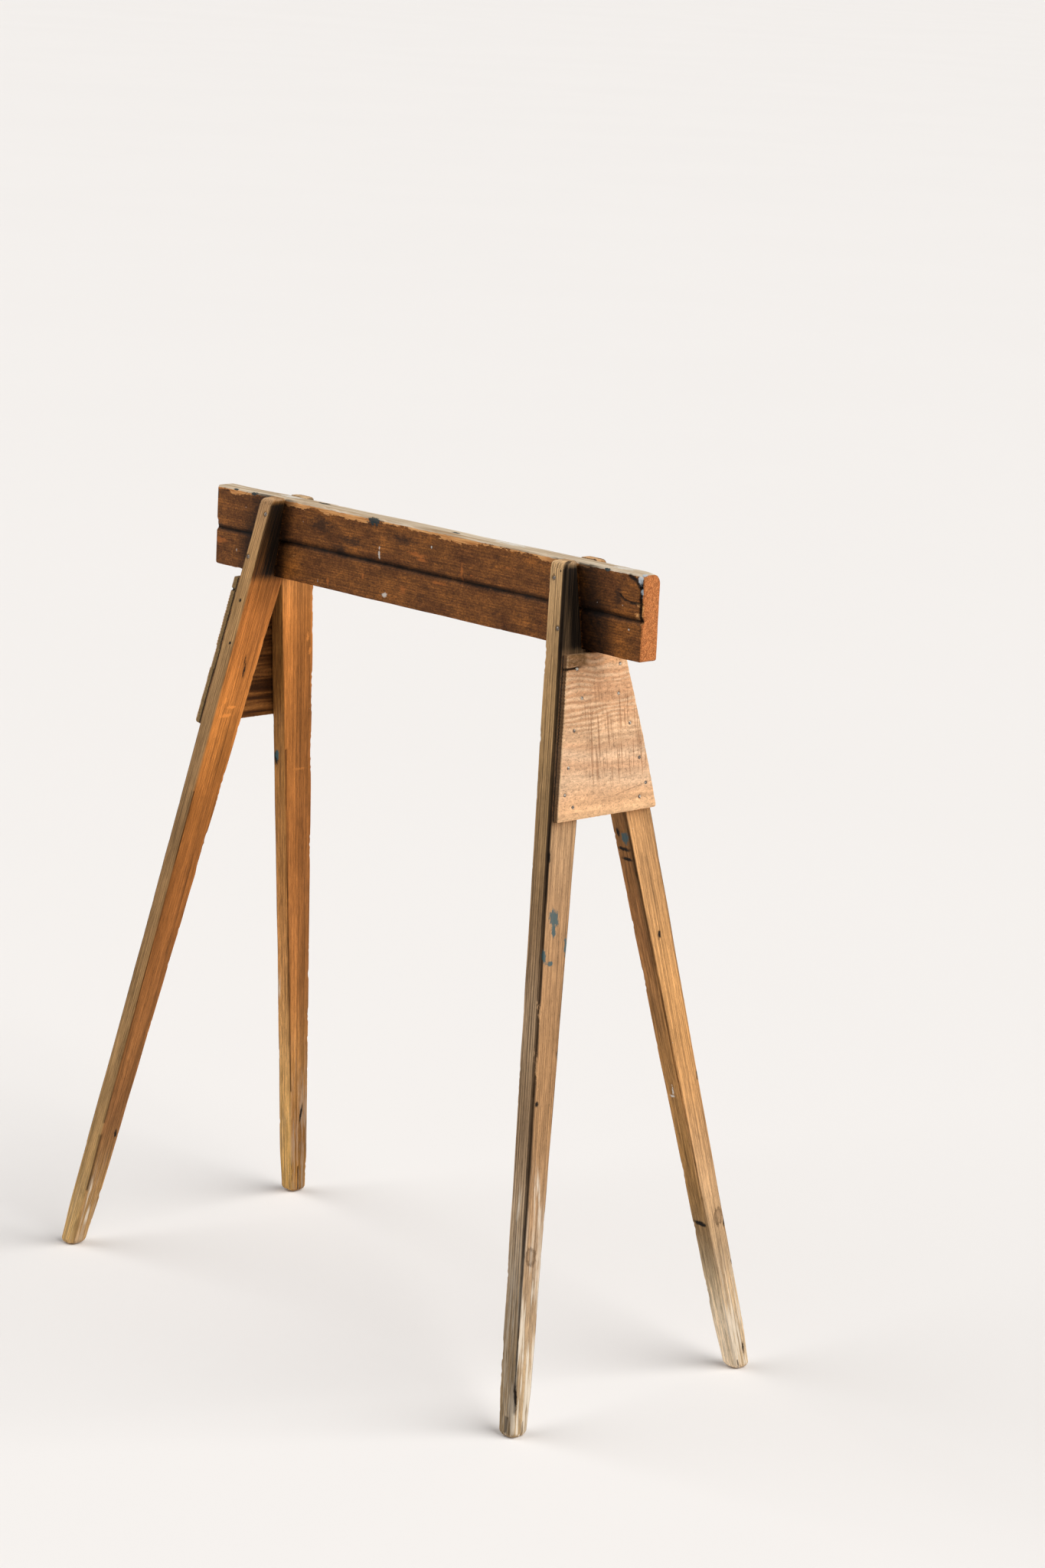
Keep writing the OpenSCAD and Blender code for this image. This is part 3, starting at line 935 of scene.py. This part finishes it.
def leg_relief(points, grain, arris, seed, looks):
    """How far a leg's surface stands out of its plain shape."""
    z = points[:, 0]
    rough = uneven(0.08, grain, 30, seed + 30, (4, 1, 1))
    rough += uneven(0.06, grain, 6, seed + 31, (5, 1, 1))
    rough += uneven(0.1, grain, 2.4, seed + 32, (40, 1, 1)) * smooth(z, 0.3, 0.0)
    nicks = noise(grain, 8 * MM, seed + 33, (2, 1, 1)) + 0.4 * noise(grain, 3 * MM, seed + 34)
    rough -= arris * smooth(nicks, 0.45, 1.0) * 0.7 * MM
    rough -= 1.0 * MM * np.clip(leg_spots(points, looks["marks"], "dent"), 0, 1)
    rough -= 1.6 * MM * sum(leg_splits(points, looks["splits"]))
    rough -= 0.9 * MM * smooth(noise(grain, 4 * MM, seed + 35), 0.1, 0.8) * smooth(z, 6 * MM, 0)
    in_notch = ramp(z, UNDERSIDE, -1, 0) * smooth(points[:, 1], RAIL_HALF + 1 * MM, RAIL_HALF)
    return rough * (1 - in_notch)


def make_leg(end, side, seed, looks):
    node = f"leg_{end}_{side}"
    marks = looks["marks"]
    places = stations(0, TOP, 1.5 * MM, [
        (0, 12 * MM, 0.6 * MM), (UNDERSIDE + 15 * MM, UNDERSIDE + 27 * MM, 0.7 * MM),
        (TOP - 19 * MM, TOP, 0.6 * MM),
    ])
    places = np.sort(np.append(places, UNDERSIDE - 0.02 * MM))
    board = Board(places, leg_section(places, seed), [even(12), even(24)] * 2)
    points = board.points
    z, sideways, out = points.T
    grain = np.stack([z + seed * 1.7, sideways - outer_y(z), out], 1)
    arris = board.arris(2.2 * MM)
    bow = uneven(0.3, line_points(z), 300, seed + 20)
    shaped = points + board.normals() * leg_relief(points, grain, arris, seed, looks)[:, None]
    shaped[:, 1] += bow * smooth(z, 0, 0.2) * smooth(z, 0.55, 0.3)
    world = np.stack([
        ENDS[end] * (outboard_x(shaped[:, 0]) - LEG_THICKNESS + shaped[:, 2]),
        SIDES[side] * shaped[:, 1], np.clip(shaped[:, 0], 0, TOP),
    ], 1)
    hollow, stain = nail_marks(world, f"leg_nail_{end}_{side}", 1.7)
    world = world - np.array([0, SIDES[side], 0]) * (0.75 * MM * hollow)[:, None]

    turning = np.linspace(0, 1, CORNER_POINTS)
    narrow = board.columns([0, 1, 0, 1], [1 - turning, turning] * 2)
    # Painted shade and dirt in the rebates, painted shade in the splits, and real stain round the nails
    rebate = board.columns([0, 0, 0, 0], [0 * turning] * 2 + [REBATE_SHADE] * 2)
    strength, *fade = looks["rebate"]
    shade_and_stain = np.max([rebate * strength * smooth(z, *fade), 0.6 * stain,
                   *leg_splits(points, looks["splits"], 1.1)], axis=0)
    foot_pale = smooth(z, looks["pale_to"], 0.35 * looks["pale_to"]) * looks["pale"]
    spot_pale = 0.75 * np.clip(leg_spots(points, marks, "pale") * 2, 0, 1)
    # Painted shadow of the rail on a leg's wide faces beside it, a little stronger close to the rail's
    # side
    beside = ramp(z, UNDERSIDE, -7, 5) * ramp(z, TOP, -1, -7)
    close = 0.94 + 0.2 * ramp(sideways, RAIL_HALF, 19, 11)
    inner, outer = leg_edges(z)
    fields = {kind: leg_spots(points, marks, kind) for kind in ("dark", "knot", "rub", "teal", "white")}
    fields.update({
        "grain": grain,
        "rise": z / TOP,
        "narrow": narrow,
        "edge": arris * (1 - np.clip(rebate, 0, 1)),
        "shade_and_stain": shade_and_stain,
        "end": np.maximum(ramp(z, 0, 3, 0.5), ramp(z, TOP, -3, -0.5)),
        "pale": np.maximum(foot_pale * (1 - 0.6 * narrow), spot_pale),
        "painted_shadow": beside * smooth(narrow, 0.95, 0.7) * close,
        "across": np.clip((sideways - inner) / (outer - inner), 0, 1),
    })
    material = leg_wood(f"weathered_wood_{end}_{side}", looks)
    make_piece(f"worn_{node}", world, facing_out(world, board.quads), material, node, fields)


# Each leg's tones from foot (0) to top (1), its growth rings, its marks of a kind on a face as
# (height, share across, half length, half width), and its splits as (face, width, [(height,
# share), ...]). Heights and widths are in millimetres.
# rebate is the strength of the painted shade and dirt in a leg's rebates, and the heights it fades in over
LEGS = {
    ("right", "near"): dict(
        wide=[(0.02, 192, 162, 122), (0.12, 194, 164, 130), (0.24, 190, 152, 114),
              (0.36, 184, 138, 92), (0.55, 184, 140, 98), (0.68, 202, 160, 118), (1.0, 150, 120, 84)],
        narrow=[(0.03, 146, 122, 90), (0.15, 124, 104, 80), (0.22, 166, 142, 114), (0.3, 160, 132, 102),
                (0.38, 124, 98, 70), (0.47, 172, 144, 112), (0.55, 132, 102, 72), (0.7, 146, 116, 78),
                (0.88, 168, 132, 88), (1.0, 196, 158, 112)],
        pith=(0.03, 0.06), spacing=2.6 * MM, pale=0.8, pale_to=0.24,
        lit=0.76, shaded=FILL, grain=(0.3, 1.0), bands=(1.0, 1.0), rebate=(0.95, 0.02, 0.06),
        marks={
            ("teal", "outboard"): [(450, 0.62, 15, 11), (439, 0.6, 12, 5), (418, 0.9, 13, 4),
                (421, 0.07, 20, 5), (411, 0.66, 4, 8)],
            ("knot", "outboard"): [(157, 0.62, 11, 8.5)],
            # The dark mark at 41 mm on the outboard face is painted shade in the split at the foot
            ("dark", "outboard"): [(290, 0.82, 5, 4), (505, 0.94, 12, 3), (41, 0.95, 27, 3.6)],
            ("dark", "outer"): [(752, 0.72, 2.2, 1.4), (748, 0.3, 1.5, 1.2)],
            ("white", "outboard"): [(486, 0.75, 2, 1), (470, 0.3, 2, 1)],
            ("pale", "outer"): [(205, 0.4, 45, 6)],
            ("pale", "outboard"): [(205, 0.5, 40, 6)],
            ("rub", "outboard"): [(330, 0.96, 40, 3), (375, 0.97, 24, 3)],
            ("dent", "outer"): [(570, 0.2, 9, 4)],
            ("dent", "outboard"): [(330, 0.1, 7, 4)],
        },
        splits=[("outboard", 2.6, [(24, 0.93), (40, 0.95), (64, 0.985)]),
                ("outboard", 0.7, [(2, 0.42), (14, 0.4)]), ("outer", 0.6, [(2, 0.5), (18, 0.55)])],
    ),
    ("right", "far"): dict(
        wide=[(0.02, 218, 188, 150), (0.1, 204, 174, 138), (0.18, 188, 152, 112), (0.25, 206, 164, 120),
              (0.35, 207, 152, 96), (0.5, 212, 156, 96), (0.65, 212, 160, 108), (1.0, 190, 140, 90)],
        narrow=[(0.06, 204, 182, 152), (0.12, 168, 144, 110), (0.18, 112, 86, 56), (0.25, 156, 116, 66),
                (0.45, 150, 106, 62), (0.55, 132, 88, 50), (0.68, 118, 80, 42), (1.0, 110, 78, 46)],
        pith=(0.07, 0.02), spacing=3.0 * MM, pale=0.62, pale_to=0.13,
        lit=LIT, shaded=1.2, grain=(0.5, 0.3), bands=(1.04, 0.97), rebate=(0.75, 0.3, 0.46),
        marks={
            ("teal", "inner"): [(508, 0.7, 13, 8)],
            ("knot", "outboard"): [(148, 0.66, 11, 7)],
            ("dark", "inner"): [(497, 0.5, 3.4, 15), (488, 0.6, 3.2, 13), (512, 0.3, 9, 4),
                (142, 0.5, 4.6, 17)],
            # The dark mark at 20 mm on the outboard face is painted shade in the split at the foot
            ("dark", "outboard"): [(418, 0.42, 9, 3.4), (284, 0.96, 10, 5), (142, 0.9, 8, 2.6),
                (20, 0.7, 8, 2.4), (104, 0.97, 6, 3)],
            ("white", "inner"): [(270, 0.5, 8, 1.9), (264, 0.38, 2.2, 6)],
            ("dent", "outer"): [(430, 0.4, 8, 4)],
        },
        splits=[("outboard", 0.9, [(14, 0.7), (26, 0.72)]), ("outboard", 0.7, [(2, 0.2), (10, 0.2)])],
    ),
    ("left", "near"): dict(
        wide=[(0.03, 182, 142, 92), (0.09, 170, 128, 78), (0.16, 130, 86, 50), (0.24, 160, 106, 58),
              (0.4, 152, 94, 45), (0.55, 170, 104, 46), (0.64, 180, 111, 49), (0.72, 208, 131, 60),
              (0.86, 212, 128, 60), (0.93, 160, 104, 50), (1.0, 130, 92, 50)],
        narrow=[(0.04, 182, 146, 92), (0.12, 168, 132, 84), (0.2, 146, 114, 74), (0.4, 150, 114, 72),
                (0.6, 138, 106, 70), (0.8, 150, 116, 76), (0.92, 172, 132, 84), (1.0, 158, 122, 86)],
        pith=(0.012, 0.045), spacing=2.6 * MM, pale=0.2, pale_to=0.11,
        lit=0.84, shaded=FILL, grain=(0.35, 0.5), bands=(0.9, 1.06), rebate=(0.95, 0.05, 0.15),
        marks={
            ("rub", "inboard"): [(545, 0.6, 3.4, 16), (553, 0.5, 3, 12), (560, 0.75, 8, 3)],
            ("dark", "inboard"): [(592, 0.42, 24, 3), (116, 0.2, 9, 3.2)],
            ("dark", "outer"): [(660, 0.4, 4, 3), (618, 0.3, 3, 3)],
            ("white", "inboard"): [(470, 0.7, 1.6, 1)],
            ("dent", "inboard"): [(395, 0.1, 7, 4)],
            ("pale", "inboard"): [(44, 0.6, 34, 5)],
        },
        splits=[("inboard", 2.3, [(60, 0.9), (84, 0.93), (116, 0.985)]),
                ("inboard", 1.0, [(130, 0.985), (300, 0.975), (470, 0.985)])],
    ),
    ("left", "far"): dict(
        wide=[(0.04, 152, 106, 50), (0.09, 120, 78, 36), (0.17, 160, 114, 62), (0.3, 156, 100, 50),
              (0.5, 158, 98, 47), (0.65, 150, 93, 42), (0.8, 172, 106, 48), (0.88, 202, 128, 62),
              (0.96, 180, 132, 82), (1.0, 172, 148, 112)],
        narrow=[(0.06, 166, 128, 70), (0.2, 178, 136, 84), (0.35, 160, 110, 62), (0.5, 150, 102, 52),
                (0.7, 128, 86, 40), (1.0, 108, 76, 42)],
        pith=(-0.03, 0.05), spacing=3.0 * MM, pale=0.2, pale_to=0.2,
        lit=0.87, shaded=FILL, grain=(0.35, 0.4), bands=(1.36, 0.92), rebate=(0.9, 0.05, 0.15),
        marks={
            ("dark", "inner"): [(490, 0.7, 22, 6)],
            ("dark", "inboard"): [(92, 0.6, 22, 3)],
            ("teal", "inner"): [(493, 0.6, 12, 5)],
            ("pale", "inner"): [(240, 0.8, 60, 3)],
            ("rub", "inboard"): [(616, 0.82, 9, 4), (602, 0.9, 8, 4), (478, 0.5, 2.4, 18)],
            ("dent", "inboard"): [(250, 0.95, 6, 4)],
        },
        splits=[("inboard", 1.0, [(0, 0.4), (30, 0.42)]),
                ("inboard", 0.9, [(120, 0.03), (300, 0.015), (500, 0.03)])],
    ),
}


# ---- Plates ----
def plate_section(down, seed, ragged):
    """Corners of a plate's section at each place down it, as (Y, out of its back face)."""
    line = line_points(down, seed)
    half = outer_y(UNDERSIDE - down * math.cos(END_SPLAY)) - 2.2 * MM
    inset = round_over(np.minimum(down - down[0], down[-1] - down), 0.9 * MM)
    steps = ragged * np.round(2.4 * noise(line, 13 * MM, seed)) * 0.9 * MM
    sawn = ramp(down, 0, 14, 22) * ramp(down, 0, 88, 66)
    teeth = (0.4 + 1.1 * sawn) * MM * np.abs((down / (3.0 * MM)) % 1 - 0.5)
    near = -half + inset + teeth + uneven(0.2, line, 9, seed + 1) - np.minimum(0, steps)
    far = half - inset - uneven(0.15, line, 9, seed + 2) - 4 * MM * smooth(down, 0.11, 0.0)
    shape = rounded(0.55 * MM * (1 + 0.4 * noise(line, 14 * MM, seed + 3)))
    return section((near, far), (inset, PLATE_THICKNESS - inset), [shape] * 4)


def plate_crack(points, path, width, reach):
    """A crack in a plate's front. Its path is (down from the plate's top, Y), in millimetres."""
    path = [(PLATE_DROP + down * MM, wide * MM, PLATE_THICKNESS) for down, wide in path]
    return split(points, path, width * MM, reach * MM)


def plate_in_place(shaped, end):
    """Points of a plate, and the way out of its front, in the scene."""
    way_out = np.array([math.cos(END_SPLAY), 0, math.sin(END_SPLAY)])
    way_down = np.array([math.sin(END_SPLAY), 0, -math.cos(END_SPLAY)])
    origin = np.array([outboard_x(UNDERSIDE), 0, UNDERSIDE])
    world = origin + shaped[:, 2:3] * way_out + shaped[:, 0:1] * way_down
    world[:, 1] = shaped[:, 1]
    mirror = np.array([ENDS[end], 1, 1])
    return world * mirror, way_out * mirror


def make_plate(end, seed, gain, ragged, side_tones):
    node = f"gusset_{end}"
    places = stations(PLATE_DROP, PLATE_BOTTOM, 0.8 * MM, [(PLATE_DROP, PLATE_DROP + 2 * MM, 0.4 * MM)])
    board = Board(places, plate_section(places, seed, ragged), [even(148), even(7)] * 2)
    points = board.points
    down, wide, out = points.T
    front = ramp(out, PLATE_THICKNESS, -1.2, -0.4)
    rising = np.stack([down - 0.03 * wide, wide, out], 1)
    crack = plate_crack(points, [(13, -60), (12.5, -30), (11.5, -17)], 1.8, 9)
    crack = crack * ramp(wide, 0, -14, -30)
    low_cracks = front * np.maximum(plate_crack(points, [(130, 12), (122, 60)], 0.9, 4),
                                    plate_crack(points, [(95, 32), (91, 56)], 0.9, 4))
    bevel = ramp(down, PLATE_BOTTOM, -2.2, 0) * front
    rough = uneven(0.16, rising, 5.5, seed + 10, (1, 9, 4)) * front
    rough += uneven(0.12, points, 2.2, seed + 11, (9, 1, 4))
    rough += uneven(0.1, points, 1.8, seed + 12)
    rough -= (1 - front) * 0.22 * MM * np.abs(((down + 1.2 * out) / (2.7 * MM)) % 1 - 0.5)
    rough -= 2.6 * MM * crack + 0.45 * MM * low_cracks + 1.1 * MM * bevel
    world, way_out = plate_in_place(points + board.normals() * rough[:, None], end)
    hollow, stain = nail_marks(world, f"plate_nail_{end}", 1.35)
    world = world - way_out * (0.7 * MM * hollow)[:, None]
    sides = board.columns([0, 1, 0, 1], [0] * 4)
    edges = ramp(down, PLATE_DROP, 1.6, 0.3)
    # Painted shadow of the leg on the plate's side next to it
    shadow_beside_leg = 0.95 * ramp(out, 0, 3.4, 1.8) * sides
    middle = ramp(down, 0, 22, 45) * ramp(down, 0, 132, 108)
    fields = {
        "grain": rising[:, [1, 0, 2]] + np.array([seed * 2.3, 0, 0]),
        "down": (down - PLATE_DROP) / PLATE_HEIGHT,
        "back": ramp(out, 0, 1.5, 0.3),
        "sawn": ramp(wide, 0, -34, -12) * middle,
        "side": np.clip(sides + 0.5 * edges, 0, 1),
        # Where the painted shadow under the rail falls on the front
        "corner": ramp(wide, 0, -8, -20) * ramp(down, 0, 16, 12) * front,
        "edge": np.maximum(board.arris(1.2 * MM) * front * 0.6, bevel),
        "shade_and_stain": np.max([1.2 * crack, 0.5 * low_cracks, 0.3 * stain, shadow_beside_leg], axis=0),
    }
    material = plate_wood(f"sawn_wood_{end}", gain, side_tones)
    make_piece(f"sawn_{node}", world, facing_out(world, board.quads), material, node, fields)


# ---- Floor, light and camera ----
def make_floor(half=90.0, cells=24):
    line = np.linspace(-half, half, cells + 1)
    points = [(x, y, 0.0) for y in line for x in line]
    corners = [r * (cells + 1) + c for r in range(cells) for c in range(cells)]
    quads = [(i, i + 1, i + cells + 2, i + cells + 1) for i in corners]
    add_object("floor", points, quads, floor_paper())


def aim(azimuth, elevation):
    """The way from the object towards a place seen at that azimuth and elevation."""
    a, e = math.radians(azimuth), math.radians(elevation)
    return np.array([math.sin(a) * math.cos(e), -math.cos(a) * math.cos(e), math.sin(e)])


def turned(back):
    """A turn that points an object's -Z away from back, with its Y upwards."""
    back = np.array(back) / np.linalg.norm(back)
    right = np.cross((0, 0, 1), back)
    right /= np.linalg.norm(right)
    return Matrix(np.stack([right, np.cross(back, right), back], 1).tolist()).to_4x4()


def make_sun(name, azimuth, elevation, strength, spread, colour):
    data = bpy.data.lights.new(name, "SUN")
    data.energy = strength
    data.angle = math.radians(spread)
    data.color = colour
    sun = bpy.data.objects.new(name, data)
    sun.matrix_world = turned(aim(azimuth, elevation))
    bpy.context.scene.collection.objects.link(sun)


def make_world():
    """A bright surround for the camera, and a dimmer one for the light it gives."""
    world = bpy.data.worlds.new("studio")
    world.use_nodes = True
    tree = world.node_tree
    tree.nodes.clear()
    shown = tree.nodes.new("ShaderNodeBackground")
    shown.inputs["Color"].default_value = tone(247, 244, 242)
    lighting = tree.nodes.new("ShaderNodeBackground")
    lighting.inputs["Color"].default_value = tone(248, 248, 250)
    lighting.inputs["Strength"].default_value = 0.08
    path = tree.nodes.new("ShaderNodeLightPath")
    mix = tree.nodes.new("ShaderNodeMixShader")
    output = tree.nodes.new("ShaderNodeOutputWorld")
    tree.links.new(path.outputs["Is Camera Ray"], mix.inputs[0])
    tree.links.new(lighting.outputs[0], mix.inputs[1])
    tree.links.new(shown.outputs[0], mix.inputs[2])
    tree.links.new(mix.outputs[0], output.inputs["Surface"])
    bpy.context.scene.world = world


def make_camera():
    azimuth, elevation, roll = 45.779, 12.416, 2.842
    place = (2.7229, -2.5108, 1.3350)
    data = bpy.data.cameras.new("camera")
    data.lens = 92.46
    data.sensor_width = 36.0
    data.clip_end = 400.0
    camera = bpy.data.objects.new("camera", data)
    turn = turned(aim(azimuth, elevation)) @ Matrix.Rotation(math.radians(roll), 4, "Z")
    camera.matrix_world = Matrix.Translation(place) @ turn
    bpy.context.scene.collection.objects.link(camera)
    bpy.context.scene.camera = camera


make_camera()
make_world()
make_sun("key_light", azimuth=114, elevation=42, strength=3.5, spread=66, colour=(1.0, 0.985, 0.96))
make_sun("fill_light", azimuth=-48, elevation=36, strength=1.75, spread=62, colour=(0.99, 0.995, 1.0))
bpy.context.scene.view_settings.view_transform = "Standard"
make_floor()
make_rail()
for number, ((end, side), looks) in enumerate(LEGS.items()):
    make_leg(end, side, number + 1, looks)
make_plate("right", 41, gain=0.89, ragged=0.0, side_tones=[(40, 26, 14), (96, 68, 40)])
make_plate("left", 57, gain=0.7, ragged=1.0, side_tones=[(84, 66, 38), (150, 122, 80)])
steel = nail_steel()
for number, node in enumerate(NAILS):
    make_nail(node, steel, number)
